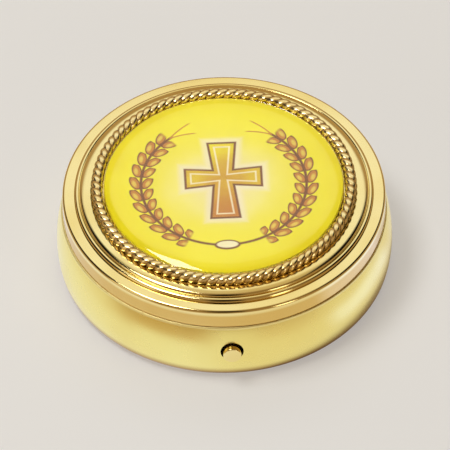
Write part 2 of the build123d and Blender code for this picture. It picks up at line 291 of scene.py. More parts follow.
def giltMaterial(name, finish):
    material, sheet = newMaterial(name)
    tone, rough, relief = giltWires(sheet, finish)[1:]
    finishMaterial(sheet, giltShader(sheet, tone, rough, relief))
    return material


satinGilt = {
    "colour": colour(246, 229, 142),
    "deep": colour(241, 219, 128),
    "driftScale": 45,
    "smudgeScale": 160,
    "poreScale": 3120,
    "roughness": 0.24,
    "dulling": 0.08,
    "waviness": 0.003,
    "poreDepth": 0.00008,
}
brightGilt = {
    "colour": colour(247, 228, 162),
    "deep": colour(240, 215, 138),
    "driftScale": 60,
    "smudgeScale": 220,
    "poreScale": 3600,
    "roughness": 0.08,
    "dulling": 0.07,
    "waviness": 0.003,
    "poreDepth": 0.0002,
}
bareBrass = {
    "colour": colour(214, 178, 104),
    "deep": colour(190, 150, 82),
    "driftScale": 300,
    "smudgeScale": 700,
    "poreScale": 10800,
    "roughness": 0.28,
    "dulling": 0.12,
    "waviness": 0.002,
    "poreDepth": 0.0004,
}
springStrip = {
    "colour": colour(205, 166, 92),
    "deep": colour(176, 134, 70),
    "driftScale": 250,
    "smudgeScale": 900,
    "poreScale": 8400,
    "roughness": 0.34,
    "dulling": 0.1,
    "waviness": 0.002,
    "poreDepth": 0.0005,
}


# Base shell: rounded foot, full belly and a rim
baseShell = {
    "bellyRadius": 27.0,
    "bellyHeight": 4.8,
    "sweep": 16.0,          # radius of the side under the belly
    "footRound": 1.7,
    "rimRadius": 26.2,
    "rimHeight": 11.05,
    "rimRound": 0.2,
    "wall": 0.75,
    "neckBore": 25.15,
    "neckBottom": 7.95,
    "seatRadius": 25.45,
    "ledgeHeight": 10.55,
    "neckShare": 0.38,      # part of the shoulder's arc that the inside follows
    "segments": 384,
    "paintedFootShade": colour(150, 96, 38),        # painted shade: brown on the rounded foot, in place of the mirrored contact shadow
    "paintedFootShadeHeights": (0.7, 2.6),
    "paintedFootShadeShare": 0.9,
    "paintedRimHighlight": colour(255, 243, 172),   # painted highlight: pale band by the lid, in place of a bright reflected line
    "rimDepths": (0.45, 0.25),
    "rimDulling": 0.25,
}


def baseSection(size):
    bulge = size["bellyRadius"] - size["rimRadius"]
    climb = size["rimHeight"] - size["rimRound"] - size["bellyHeight"]
    shoulder = (climb**2 + bulge**2) / (2 * bulge)
    shoulderAngle = degrees(asin(climb / shoulder))
    sweepMiddle = size["bellyRadius"] - size["sweep"]
    drop = size["bellyHeight"] - size["footRound"]
    footMiddle = sweepMiddle + sqrt((size["sweep"] - size["footRound"]) ** 2 - drop**2)
    footAngle = degrees(atan2(drop, footMiddle - sweepMiddle))
    rimMiddle = (size["rimRadius"] - size["rimRound"], size["rimHeight"] - size["rimRound"])
    bellyMiddle = (size["bellyRadius"] - shoulder, size["bellyHeight"])
    footCentre = (footMiddle, size["footRound"])
    side = (sweepMiddle, size["bellyHeight"])
    section = line((0, 0), (footMiddle, 0), parts=12)
    section += arc(footCentre, size["footRound"], -90, -footAngle)
    section += arc(side, size["sweep"], -footAngle, 0, step=1.5)
    section += arc(bellyMiddle, shoulder, 0, shoulderAngle, step=0.8)
    section += arc(rimMiddle, size["rimRound"], 0, 90, step=15)
    section += [(size["seatRadius"], size["rimHeight"]), (size["seatRadius"], size["ledgeHeight"])]
    section += [(size["neckBore"], size["ledgeHeight"]), (size["neckBore"], size["neckBottom"])]
    section += arc(bellyMiddle, shoulder - size["wall"], shoulderAngle * size["neckShare"], 0, step=2)
    section += arc(side, size["sweep"] - size["wall"], 0, -footAngle)
    section += arc(footCentre, size["footRound"] - size["wall"], -footAngle, -90, step=20)
    section += line((footMiddle, size["wall"]), (0, size["wall"]), parts=6)
    section += [(0, size["wall"])]
    return section


def baseMaterial(finish, size):
    material, sheet = newMaterial("satinGilt")
    place, tone, rough, relief = giltWires(sheet, finish)
    height = sheet.make("ShaderNodeSeparateXYZ", {}, {"Vector": place}, "Z") / mm
    # Painted shade: brown on the rounded foot
    foot = 1 - height.step(*size["paintedFootShadeHeights"])
    tone = (foot * size["paintedFootShadeShare"]).between(tone, size["paintedFootShade"])
    # Painted highlight: pale band on the rim by the lid, which is also dulled
    rim = height.step(*(size["rimHeight"] - depth for depth in size["rimDepths"]))
    tone = rim.between(tone, size["paintedRimHighlight"])
    rough = rough + rim * size["rimDulling"]
    finishMaterial(sheet, giltShader(sheet, tone, rough, relief))
    return material


# Push button and hinge: the shells are cut to their sizes
pushButton = {
    "height": 6.3,
    "face": 28.0,           # distance of the face in front of the axis
    "swell": 0.12,
    "edgeRound": 0.15,
    "radius": 1.47,
    "hole": 1.86,
    "holeEnd": 30.0,        # clear of the front
    "stop": 2.3,
    "stopFront": 25.05,
    "stopBack": 24.55,
    "stem": 0.75,
    "collarEnd": 24.1,
    "washerBack": 23.05,
    "peened": 1.2,
    "stemEnd": 22.8,
    "segments": 96,
}
hinge = {
    "depth": 26.85,         # axis behind the middle of the box
    "height": 11.1,
    "knuckle": 1.05,
    "room": 0.12,
    "length": 10.2,
    "sideKnuckle": 3.1,
    "sideMiddle": 3.45,
    "middleKnuckle": 3.6,
    "strapRoom": 0.05,
    "sheet": 0.45,
    "baseStrapTop": 10.5,
    "lidStrapTop": 12.15,
}


def hingeBar():
    middle = (-hinge["length"] / 2, hinge["depth"], hinge["height"])
    return barAlong("hingeRoom", (1, 0, 0), hinge["knuckle"] + hinge["room"], 0, hinge["length"], middle)


def buildBaseShell():
    piece = turnedPiece("baseShell", baseSection(baseShell), baseShell["segments"])
    holeMiddle = (0, 0, pushButton["height"])
    holeStart, holeEnd = pushButton["stopBack"], pushButton["holeEnd"]
    hole = barAlong("buttonHole", (0, -1, 0), pushButton["hole"], holeStart, holeEnd, holeMiddle)
    cutters = [hole, hingeBar()]
    half = hinge["sideKnuckle"] / 2 + hinge["strapRoom"]
    bottom = hinge["baseStrapTop"] - hinge["sheet"] - hinge["strapRoom"]
    for side in (-1, 1):
        middle = side * hinge["sideMiddle"]
        low = (middle - half, baseShell["neckBore"] / 2, bottom)
        high = (middle + half, hinge["depth"], baseShell["rimHeight"] + cutRoom)
        cutters.append(boxBetween("strapSlot", low, high))
    cutAway(piece, cutters)
    smoothPiece(piece)
    dress(piece, baseMaterial(satinGilt, baseShell))
    standFor(piece, "base_shell", "base")


buildBaseShell()
print("base shell turned")


# Inner cup, with its flange and the slot for the lid's tongue
baseLiner = {
    "radius": 21.65,
    "cup": 21.15,
    "floorBottom": 1.0,
    "floorTop": 1.5,
    "corner": 2.0,
    "mouthRound": 0.3,
    "flange": 25.45,
    "flangeBottom": 10.55,
    "top": 11.05,
    "slotHalf": 2.5,
    "slotFront": 25.05,
    "slotBack": 24.05,
    "segments": 288,
}


def linerSection(size):
    outer = size["corner"] + size["radius"] - size["cup"]
    mouth = (size["cup"] + size["mouthRound"], size["top"] - size["mouthRound"])
    section = line((0, size["floorBottom"]), (size["radius"] - outer, size["floorBottom"]), parts=8)
    section += arc((size["radius"] - outer, size["floorBottom"] + outer), outer, -90, 0, step=10)
    section += [(size["radius"], size["flangeBottom"]), (size["flange"], size["flangeBottom"])]
    section += [(size["flange"], size["top"])]
    section += arc(mouth, size["mouthRound"], 90, 180, step=10)
    section += arc((size["cup"] - size["corner"], size["floorTop"] + size["corner"]), size["corner"], 0, -90)
    section += line((size["cup"] - size["corner"], size["floorTop"]), (0, size["floorTop"]), parts=12)
    section += [(0, size["floorTop"])]
    return section


def buildBaseLiner():
    piece = turnedPiece("baseLiner", linerSection(baseLiner), baseLiner["segments"])
    low = (-baseLiner["slotHalf"], -baseLiner["slotFront"], baseLiner["flangeBottom"] - cutRoom)
    high = (baseLiner["slotHalf"], -baseLiner["slotBack"], baseLiner["top"] + cutRoom)
    cutAway(piece, [boxBetween("tongueSlot", low, high)])
    smoothPiece(piece)
    dress(piece, giltMaterial("cupGilt", brightGilt))
    standFor(piece, "base_liner", "base")


buildBaseLiner()
print("inner cup turned")


def buttonSection(size):
    section = [(0, size["stemEnd"]), (size["peened"], size["stemEnd"]), (size["peened"], size["washerBack"])]
    section += [(size["stem"], size["washerBack"]), (size["stem"], size["collarEnd"])]
    section += [(size["radius"], size["collarEnd"]), (size["radius"], size["stopBack"])]
    section += [(size["stop"], size["stopBack"]), (size["stop"], size["stopFront"])]
    section += [(size["radius"], size["stopFront"])]
    rim = size["radius"] - size["edgeRound"]
    edge = size["face"] - size["swell"]
    ball = (rim**2 + size["swell"] ** 2) / (2 * size["swell"])
    slope = degrees(asin(rim / ball))
    section += arc((rim, edge - size["edgeRound"]), size["edgeRound"], 0, 90 - slope, step=10)
    section += arc((0, size["face"] - ball), ball, 90 - slope, 90, step=2)
    return section


def buildPushButton():
    place = alongAxis((0, -1, 0), (0, 0, pushButton["height"]))
    piece = turnedPiece("pushButton", buttonSection(pushButton), pushButton["segments"], place)
    smoothPiece(piece)
    dress(piece, giltMaterial("buttonGilt", brightGilt))
    standFor(piece, "push_button", "latch")


buildPushButton()
print("push button turned")


# Lid shell: plain wall, flat band, bead, sloping inner ring and the pan
lidShell = {
    "radius": 26.0,
    "wall": 0.6,
    "bottom": 11.15,
    "bandHeight": 14.65,
    "skirtRound": 0.45,
    "bandWidth": 1.45,
    "bandCrown": 0.02,
    "beadRadius": 0.52,
    "beadLift": 0.04,
    "beadLedge": 0.33,
    "beadTurn": 124.0,      # degrees, down into the fine valley inside the bead
    "crownHeight": 15.75,
    "crownFlat": 0.71,      # beside the rope
    "crownWidth": 0.93,
    "crownSlope": 20.0,     # degrees that the inner ring falls outwards
    "crownRound": 0.5,
    "panFloor": 15.25,
    "edgeRound": 0.06,
    "segments": 384,
    "paintedWallShade": colour(216, 173, 86),  # painted shade: plain wall darkened to tan, in place of the darker floor it mirrors
    "satinAndShadeTop": (1.3, 0.6),     # under the band, where the satin and the painted shade end
    "satinAndShadeEdge": (0.45, 0.1),   # inside the wall's face, where both start
    "paintedWallShadeShare": 0.8,
    "satinDulling": 0.1,
}


def lidSection(size):
    bore = size["radius"] - size["wall"]
    bandOuter = size["radius"] - size["skirtRound"]
    bandInner = bandOuter - size["bandWidth"]
    skirtTop = size["bandHeight"] - size["skirtRound"]
    beadHeight = size["bandHeight"] + size["beadLift"]
    beadTop = beadHeight + size["beadRadius"]
    beadMiddle = bandInner - size["beadRadius"]
    valley = beadHeight + size["beadRadius"] * sin(radians(size["beadTurn"]))
    crownFoot = beadMiddle - size["beadLedge"]
    slope = radians(size["crownSlope"])
    fallAngle = 90 - size["crownSlope"]
    crownSwell = size["crownWidth"] / sin(slope)
    crownFall = crownSwell * (1 - cos(slope))
    edgeHeight = size["crownHeight"] - crownFall - size["crownRound"] * cos(slope)
    edgeEnd = asin((beadTop - edgeHeight) / size["crownRound"])
    edgeMiddle = crownFoot - size["crownRound"] * cos(edgeEnd)
    fallStart = edgeMiddle + size["crownRound"] * sin(slope) - size["crownWidth"]
    panRadius = fallStart - size["crownFlat"]
    swell = (size["bandWidth"] ** 2 / 4 + size["bandCrown"] ** 2) / (2 * size["bandCrown"])
    swellAngle = degrees(asin(size["bandWidth"] / 2 / swell))
    bandMiddle = ((bandOuter + bandInner) / 2, size["bandHeight"] + size["bandCrown"] - swell)
    bandUnder = size["bandHeight"] - size["wall"]
    edge = size["edgeRound"]
    section = [(bore, size["bottom"])]
    section += arc((size["radius"] - edge, size["bottom"] + edge), edge, -90, 0, step=30)
    section += line((size["radius"], size["bottom"] + edge), (size["radius"], skirtTop), parts=6)
    section += arc((bandOuter, skirtTop), size["skirtRound"], 0, 90, step=3)
    section += arc(bandMiddle, swell, 90 - swellAngle, 90 + swellAngle, step=2)
    section += [(bandInner, beadHeight)]
    section += arc((beadMiddle, beadHeight), size["beadRadius"], 0, size["beadTurn"], step=6)
    section += [(crownFoot, valley), (crownFoot, beadTop)]
    section += arc((edgeMiddle, edgeHeight), size["crownRound"], degrees(edgeEnd), fallAngle, step=3)
    section += arc((fallStart, size["crownHeight"] - crownSwell), crownSwell, fallAngle, 90, step=2)
    section += arc((panRadius + edge, size["crownHeight"] - edge), edge, 90, 180, step=30)
    section += [(panRadius, size["panFloor"])]
    section += line((panRadius, size["panFloor"]), (0, size["panFloor"]), parts=8)
    section += [(0, size["panFloor"]), (0, size["panFloor"] - size["wall"])]
    section += [(panRadius, size["panFloor"] - size["wall"]), (crownFoot, bandUnder)]
    section += [(bore, bandUnder)]
    return section


def lidMaterial(finish, size):
    material, sheet = newMaterial("lidGilt")
    place, tone, rough, relief = giltWires(sheet, finish)
    axes = sheet.make("ShaderNodeSeparateXYZ", {}, {"Vector": place})
    height = axes.other("Z") / mm
    radius = length2(axes, axes.other("Y")) / mm
    upper = height.step(*(size["bandHeight"] - depth for depth in size["satinAndShadeTop"]))
    outer = radius.step(*(size["radius"] - depth for depth in size["satinAndShadeEdge"]))
    wall = outer * (1 - upper)
    # Painted shade darkens the wall to tan, and its satin finish dulls it
    tone = (wall * size["paintedWallShadeShare"]).between(tone, size["paintedWallShade"])
    rough = rough + wall * size["satinDulling"]
    finishMaterial(sheet, giltShader(sheet, tone, rough, relief))
    return material


def buildLidShell():
    piece = turnedPiece("lidShell", lidSection(lidShell), lidShell["segments"])
    half = hinge["middleKnuckle"] / 2 + hinge["strapRoom"]
    low = (-half, (lidShell["radius"] - lidShell["wall"]) / 2, lidShell["bottom"] - cutRoom)
    high = (half, hinge["depth"], hinge["lidStrapTop"] + hinge["strapRoom"])
    cutAway(piece, [hingeBar(), boxBetween("strapSlot", low, high)])
    smoothPiece(piece)
    dress(piece, lidMaterial(brightGilt, lidShell))
    standFor(piece, "lid_shell", "lid")


buildLidShell()
print("lid shell turned")


# Rope border: two wires laid round each other, pressed together and closed into a ring
rope = {
    "radius": 20.4186,
    "height": 16.22,
    "diameter": 1.9,
    "strand": 0.78,         # radius of each wire's rounded outside
    "pressed": 0.65,        # how far the top is pressed flat
    "turns": 44,
    "stepsPerTurn": 28,
    "sides": 18,
    "finish": brightGilt | {"colour": colour(254, 234, 172), "deep": colour(249, 222, 148)},
    "dulling": 0.11,
    "paintedGrooveShade": colour(132, 84, 34),  # painted shade: darker in the grooves between the wires
    "hollowSpan": (0.77, 1.0),
    "paintedGrooveShadeShare": 0.85,
    "hollowDulling": 0.1,
}


# Half of the cord's section: a rounded outside, and a flat that meets the other wire
def strandSection(size):
    winding = size["diameter"] / 2 - size["strand"]
    half = 180 - degrees(acos(winding / size["strand"]))
    return arc((winding, 0), size["strand"], -half, half, 2 * half / size["sides"])


def pressedLift(lift):  # height above the cord's middle, once its top is pressed flat
    if lift < 0:
        return lift
    half = rope["diameter"] / 2
    return lift + rope["pressed"] * (half * sin(pi / 2 * lift / half) - lift)


def ropeStrand(name, firstAngle):
    section = strandSection(rope)
    steps = rope["turns"] * rope["stepsPerTurn"]
    up = Vector((0, 0, 1))
    points = []
    for step in range(steps):
        around = pi / 2 + 2 * pi * step / steps
        lay = radians(firstAngle) + 2 * pi * rope["turns"] * step / steps
        outward = Vector((cos(around), sin(around), 0))
        fromAxis = outward * cos(lay) + up * sin(lay)
        aboutAxis = up * cos(lay) - outward * sin(lay)
        middle = outward * rope["radius"] + up * rope["height"]
        for deep, wide in section:
            point = middle + fromAxis * deep + aboutAxis * wide
            point.z = rope["height"] + pressedLift(point.z - rope["height"])
            points.append(point * mm)
    faces = []
    count = len(section)
    for step in range(steps):
        here = step * count
        there = (step + 1) % steps * count
        for side in range(count):
            after = (side + 1) % count
            faces.append((here + side, here + after, there + after, there + side))
    piece = meshObject(name, points, faces)
    edges = [abs(2 * side / (count - 1) - 1) for side in range(count)] * steps  # 1 in the grooves
    piece.data.attributes.new("edge", "FLOAT", "POINT").data.foreach_set("value", edges)
    smoothPiece(piece, limit=50)
    return piece


def ropeMaterial(size):
    material, sheet = newMaterial("ropeGilt")
    tone, rough, relief = giltWires(sheet, size["finish"])[1:]
    edge = sheet.make("ShaderNodeAttribute", {"attribute_name": "edge"}, {}, "Fac")
    hollow = edge.step(*size["hollowSpan"])
    # Painted shade darkens the grooves, which are also dulled
    tone = (hollow * size["paintedGrooveShadeShare"]).between(tone, size["paintedGrooveShade"])
    rough = rough + hollow * size["hollowDulling"] + size["dulling"]
    finishMaterial(sheet, giltShader(sheet, tone, rough, relief))
    return material


ropeGilt = ropeMaterial(rope)
strands = (("ropeStrandA", "rope_strand_a", 0), ("ropeStrandB", "rope_strand_b", 180))
for strandName, node, firstAngle in strands:
    strand = ropeStrand(strandName, firstAngle)
    dress(strand, ropeGilt)
    standFor(strand, node, "lid")
print("rope laid")


# Printed disc: a cross between two sprays of wheat on a yellow ground, in shares of the disc's radius
picture = {
    "radius": 19.0,         # millimetres
    "ground": colour(251, 243, 4),
    "groundPale": colour(250, 244, 100),
    "groundEdge": colour(243, 227, 4),
    "cream": colour(252, 246, 220),
    "amber": colour(206, 136, 40),
    "brown": colour(128, 72, 22),
    "cloudScale": 130,
    "paleSpan": (0.1, 0.95),
    "paleCloud": 0.5,
    "edgeSpan": (0.82, 1.05),
    "edgeCloud": 0.2,
    "glowSpan": (0.08, 0.62),
    "glowCloud": 0.35,
    "glowShare": 0.6,
    "roughness": 0.42,
    "toothScale": 2600,     # fine grain of the print
    "tooth": 0.12,
}
wheat = {
    "radius": 0.70,
    "start": 26.0,          # degrees from the foot of the print
    "end": 142.0,
    "fade": 3.0,
    "grainStep": 11.0,      # degrees from grain to grain
    "grain": (0.058, 0.046),    # half length and half width
    "grainOff": 0.052,      # away from the stalk
    "grainSlant": 0.75,
    "grainShift": 0.035,
    "grainSoft": 0.12,
    "outline": 1.12,
    "body": 0.88,
    "shine": (0.03, 0.02),
    "shineOff": 0.058,
    "shineShift": 0.012,
    "shineSoft": 0.5,
    "shineShare": 0.6,
    "stalk": 0.012,
    "stalkSoft": 0.006,
    "stalkStart": (4, 6),
    "stalkFade": 4,
    "beard": 0.006,
    "beardSoft": 0.004,
    "beardSpread": 0.0035,  # for each degree past the last grain
    "beardStart": 1,
    "beardEnd": (158, 162),
}
tie = {
    "band": (0.11, 0.055),
    "bandSoft": 0.08,
    "face": (0.09, 0.038),
    "faceLift": 0.004,
    "faceSoft": 0.12,
}
cross = {
    "lift": 0.07,
    "arm": 0.075,           # half width at the middle
    "flare": 0.10,
    "top": 0.40,
    "foot": 0.46,
    "side": 0.32,
    "soft": 0.006,
    "halo": 0.055,
    "haloSoft": 0.03,
    "haloShare": 0.8,
    "outline": 0.012,
    "body": 0.008,
    "shadeRise": 0.8,
    "shadeLift": 0.4,
    "inlay": 0.045,         # pale line inside the outline
    "inlayHalf": 0.007,
    "inlayShare": 0.9,
}


def insideOf(distance, softness):  # 1 where the distance is below zero
    return 1 - distance.step(-softness, softness)


def groundPaint(outward, cloud):
    share = outward.step(*picture["paleSpan"]) + cloud * picture["paleCloud"]
    paint = share.between(picture["groundPale"], picture["ground"])
    edge = (outward + cloud * picture["edgeCloud"]).step(*picture["edgeSpan"])
    paint = edge.between(paint, picture["groundEdge"])
    glow = 1 - (outward + cloud * picture["glowCloud"]).step(*picture["glowSpan"])
    return (glow * picture["glowShare"]).between(paint, picture["cream"])


def wheatPaint(paint, side, upward):  # grains in pairs along an arc on each side, slanting forwards
    turn = side.maths("ARCTAN2", side, -upward) * (180 / pi)
    beside = abs(length2(side, upward) - wheat["radius"])
    start, end, fade = wheat["start"], wheat["end"], wheat["fade"]
    inSpray = turn.step(start, start + fade) * (1 - turn.step(end - fade, end))
    pitch = radians(wheat["grainStep"]) * wheat["radius"]
    along = (turn % wheat["grainStep"] / wheat["grainStep"] - 0.5) * pitch
    slanted = along - beside * wheat["grainSlant"] + wheat["grainShift"]
    long, wide = wheat["grain"]
    kernel = length2(slanted / long, (beside - wheat["grainOff"]) / wide)
    for reach, tone in ((wheat["outline"], picture["brown"]), (wheat["body"], picture["amber"])):
        paint = (insideOf(kernel - reach, wheat["grainSoft"]) * inSpray).between(paint, tone)
    long, wide = wheat["shine"]
    shine = length2((slanted + wheat["shineShift"]) / long, (beside - wheat["shineOff"]) / wide)
    shine = insideOf(shine - 1, wheat["shineSoft"]) * inSpray
    paint = (shine * wheat["shineShare"]).between(paint, picture["groundPale"])
    stalk = insideOf(beside - wheat["stalk"], wheat["stalkSoft"])
    stalk = stalk * turn.step(*wheat["stalkStart"]) * (1 - turn.step(end, end + wheat["stalkFade"]))
    paint = stalk.between(paint, picture["brown"])
    beard = insideOf(abs(beside - (turn - end) * wheat["beardSpread"]) - wheat["beard"], wheat["beardSoft"])
    beard = beard * turn.step(end - wheat["beardStart"], end) * (1 - turn.step(*wheat["beardEnd"]))
    return beard.between(paint, picture["amber"])


def tiePaint(paint, across, upward):  # band that ties the stalks
    rise = upward + wheat["radius"]
    wide, high = tie["band"]
    band = insideOf(length2(across / wide, rise / high) - 1, tie["bandSoft"])
    paint = band.between(paint, picture["brown"])
    wide, high = tie["face"]
    face = insideOf(length2(across / wide, (rise - tie["faceLift"]) / high) - 1, tie["faceSoft"])
    return face.between(paint, picture["cream"])


def crossPaint(paint, side, upward, cloud):  # arms that widen to their ends
    rise = upward - cross["lift"]
    ends = (rise - cross["top"]).most(-rise - cross["foot"])
    post = (side - cross["arm"] - abs(rise) * cross["flare"]).most(ends)
    beam = (abs(rise) - cross["arm"] - side * cross["flare"]).most(side - cross["side"])
    edge = post.least(beam)
    halo = insideOf(edge - cross["halo"], cross["haloSoft"])
    paint = (halo * cross["haloShare"]).between(paint, picture["cream"])
    paint = insideOf(edge - cross["outline"], cross["soft"]).between(paint, picture["brown"])
    shade = (cloud + rise * cross["shadeRise"] + cross["shadeLift"]).step(0, 1)
    body = shade.between(picture["amber"], picture["ground"])
    paint = insideOf(edge + cross["body"], cross["soft"]).between(paint, body)
    inlay = insideOf(abs(edge + cross["inlay"]) - cross["inlayHalf"], cross["soft"])
    return (inlay * cross["inlayShare"]).between(paint, picture["cream"])


def pictureMaterial():
    material, sheet = newMaterial("printedDisc")
    place = sheet.make("ShaderNodeTexCoord", {}, {}, "Object")
    axes = sheet.make("ShaderNodeSeparateXYZ", {}, {"Vector": place})
    across = axes / (picture["radius"] * mm)
    upward = axes.other("Y") / (picture["radius"] * mm)
    side = abs(across)
    cloud = noise(sheet, place, picture["cloudScale"], 5) - 0.5
    tooth = noise(sheet, place, picture["toothScale"], 2)
    paint = groundPaint(length2(across, upward), cloud)
    paint = wheatPaint(paint, side, upward)
    paint = tiePaint(paint, across, upward)
    paint = crossPaint(paint, side, upward, cloud)
    rough = picture["roughness"] + tooth * picture["tooth"]
    shader = sheet.make("ShaderNodeBsdfPrincipled", {}, {"Base Color": paint, "Roughness": rough})
    finishMaterial(sheet, shader)
    return material


dress(nodes["picture_disc"], pictureMaterial())
print("picture printed")


# Clear dome: gently swelled, with a rounded rim
clearDome = {
    "radius": 19.36,
    "foot": 16.44,          # resin cast onto the printed face, with no air between
    "edge": 16.55,
    "shoulder": 4.0,
    "shoulderWidth": 2.0,
    "rise": 0.35,
    "segments": 288,
    "ior": 1.56,
    "roughness": 0.005,
    "smearScale": 260,      # finger marks
    "smearSpan": (0.45, 0.8),
    "smearDulling": 0.01,
    "rippleScale": 90,
    "ripple": 0.004,
}


def domeSection(size):
    capRadius = size["radius"] - size["shoulderWidth"]
    swell = (capRadius**2 + size["rise"] ** 2) / (2 * size["rise"])
    capSlope = degrees(asin(capRadius / swell))
    rimSlope = degrees(asin(capRadius / swell + size["shoulderWidth"] / size["shoulder"]))
    middle = size["radius"] - size["shoulder"] * sin(radians(rimSlope))
    height = size["edge"] - size["shoulder"] * cos(radians(rimSlope))
    top = height + size["shoulder"] * cos(radians(capSlope)) + size["rise"]
    section = line((0, size["foot"]), (size["radius"], size["foot"]), parts=12)
    section += [(size["radius"], size["foot"])]
    section += arc((middle, height), size["shoulder"], 90 - rimSlope, 90 - capSlope, step=2)
    section += arc((0, top - swell), swell, 90 - capSlope, 90, step=0.15)
    return section


def resinMaterial(size):
    material, sheet = newMaterial("clearResin")
    place = sheet.make("ShaderNodeTexCoord", {}, {}, "Object")
    ripple = noise(sheet, place, size["rippleScale"], 2) * size["ripple"]
    smear = noise(sheet, place, size["smearScale"], 4).step(*size["smearSpan"])
    bump = sheet.make("ShaderNodeBump", {}, {"Height": ripple, "Distance": mm, "Strength": 1})
    sockets = {
        "Base Color": (1, 1, 1, 1),
        "Roughness": size["roughness"] + smear * size["smearDulling"],
        "IOR": size["ior"],
        "Transmission Weight": 1,
        "Normal": bump,
    }
    resin = sheet.make("ShaderNodeBsdfPrincipled", {}, sockets)
    clear = sheet.make("ShaderNodeBsdfTransparent", {}, {})
    shadow = sheet.make("ShaderNodeLightPath", {}, {}, "Is Shadow Ray")  # the resin casts none
    finishMaterial(sheet, sheet.make("ShaderNodeMixShader", {}, {0: shadow, 1: resin, 2: clear}))
    return material


def buildClearDome():
    piece = turnedPiece("clearDome", domeSection(clearDome), clearDome["segments"])
    smoothPiece(piece, limit=40)
    dress(piece, resinMaterial(clearDome))
    standFor(piece, "clear_dome", "lid")


buildClearDome()
print("dome cast")


# Pieces whose CAD shape stays
plainGilt = giltMaterial("plainGilt", brightGilt)
brass = giltMaterial("bareBrass", bareBrass)
spring = giltMaterial("springBrass", springStrip)
for node in ("lid_liner", "picture_tray", "lid_tongue", "hinge_base_leaf", "hinge_lid_leaf"):
    dress(nodes[node], plainGilt)
for node in ("hinge_pin", "latch_catch", "stem_washer"):
    dress(nodes[node], brass)
print("fittings finished")


# Latch spring: the CAD spring, cut across its arm between its root on the inner cup and the bend beside the
# stem
latchSpring = {
    "sheet": 0.3,
    "bend": 3.6,            # beside the stem
    "rootAngle": 32.0,      # degrees from the front to the start of the root on the cup
    "cuts": 12,             # across the arm, between root and bend
}


def buildLatchSpring():
    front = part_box("latch_spring")[0][1] / mm
    lean = radians(latchSpring["rootAngle"])
    halfSheet = latchSpring["sheet"] / 2
    height = pushButton["height"]
    pathRadius = baseLiner["radius"] + halfSheet
    root = Vector((pathRadius * sin(lean), -pathRadius * cos(lean), height)) * mm
    bend = Vector((latchSpring["bend"], front + halfSheet, height)) * mm
    shape = bmesh.new()
    shape.from_mesh(nodes["latch_spring"].data)
    for cut in range(latchSpring["cuts"]):
        place = root.lerp(bend, (cut + 0.5) / latchSpring["cuts"])
        parts = shape.verts[:] + shape.edges[:] + shape.faces[:]
        bmesh.ops.bisect_plane(shape, geom=parts, plane_co=place, plane_no=bend - root)
    mesh = bpy.data.meshes.new("latchSpring")
    shape.to_mesh(mesh)
    shape.free()
    piece = bpy.data.objects.new("latchSpring", mesh)
    bpy.context.collection.objects.link(piece)
    smoothPiece(piece)
    dress(piece, spring)
    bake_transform(piece)
    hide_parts("latch_spring")


buildLatchSpring()


# Floor, studio light and camera
floorSheet = {
    "size": 3.0,            # metres
    "colour": colour(243, 243, 241),
    "seen": 0.4,            # share of its own light towards the camera
    "mirrored": 0.9,        # and towards polished metal
    "roughness": 0.6,
    "mottleScale": 20,
    "mottle": 0.1,
    "far": (0.28, 0.16, 0.06, 1),       # what all polished metal mirrors far off
    "farSpan": (58.0, 70.0),
    "shade": (0.16, 0.085, 0.03, 1),    # and under the foot
    "shadeMiddle": (2.4, 0.0),
    "shadeSpan": (25.5, 27.6),
    "shadeShare": 0.85,
}
# Patches on the floor that the sides mirror, a tan one and two of painted light in place of lamp
# reflections: turn in degrees, radius in millimetres and the blur of both
tanPatch = (0.62, 0.45, 0.27, 1)
# Painted light: pale and cool glowing patches in place of lamp reflections
palePaintedGlow = (0.94, 0.98, 1.08, 1)
coolPaintedGlow = (1.08, 1.22, 1.9, 1)
floorPatches = [
    {"turn": (-56, -10), "radius": (40.7, 70), "blur": (8, 1.3), "tone": tanPatch, "share": 1.0},
    {"turn": (12, 46), "radius": (40.7, 70), "blur": (8, 1.3), "tone": tanPatch, "share": 0.35},
    {"turn": (-115, -8), "radius": (25.5, 39), "blur": (12, 1.0), "tone": palePaintedGlow, "share": 1.0},
    {"turn": (46, 88), "radius": (31.2, 38), "blur": (6, 1.2), "tone": coolPaintedGlow, "share": 1.0},
]
# Sky: heights are the Z of a direction, 0 at the horizon and 1 overhead
sky = {
    "background": colour(243, 243, 241),    # what the camera sees
    "horizon": (0.44, 0.30, 0.16, 1),
    "window": (1.0, 1.0, 0.97, 1),          # bright behind the box
    "windowRise": (0.55, 0.70),
    "zenith": (0.66, 0.56, 0.40, 1),
    "zenithRise": (0.82, 0.93),
    "front": (0.30, 0.20, 0.10, 1),
    "frontSpan": (-0.25, 0.10),
    "frontRise": (0.1, 0.5),
    "dark": (0.010, 0.007, 0.004, 1),       # panels at both sides and a strip in front
    "darkRise": (0.28, 0.42),
    "sideSpan": (0.74, 0.88),
    "sideLean": 0.55,
    "sideTop": (0.88, 0.95),
    "sideFront": (0.0, 0.3),
    "stripSpan": (-0.1, 0.2),
    "stripTaper": 4,
}
lamps = {
    "overhead": {"towards": (-0.33, -0.02, 0.94), "distance": 0.7, "size": (0.30, 0.20), "radiance": 10.0},
    "leftFront": {"towards": (-0.86, -0.45, 0.30), "distance": 0.8, "size": (0.4, 0.5), "radiance": 0.6},
    "rightFront": {"towards": (0.55, -0.80, 0.25), "distance": 0.8, "size": (0.16, 0.5), "radiance": 2.0},
}
photoView = {
    "azimuth": -2.1,
    "elevation": 47.0,
    "roll": -0.75,
    "distance": 2.8,        # metres
    "imageWidth": 450,
    "pixelsPerMm": 6.21,
    "sensor": 36.0,
    "aim": (0.11, 0.0, 7.19),
}
black = (0, 0, 0, 1)


def patchMask(patch, turn, radius):
    (start, end), (inner, outer), (sweep, edge) = patch["turn"], patch["radius"], patch["blur"]
    mask = turn.step(start - sweep, start + sweep) * (1 - turn.step(end - sweep, end + sweep))
    mask = mask * radius.step(inner - edge, inner + edge) * (1 - radius.step(outer - edge, outer + edge))
    return mask * patch["share"]


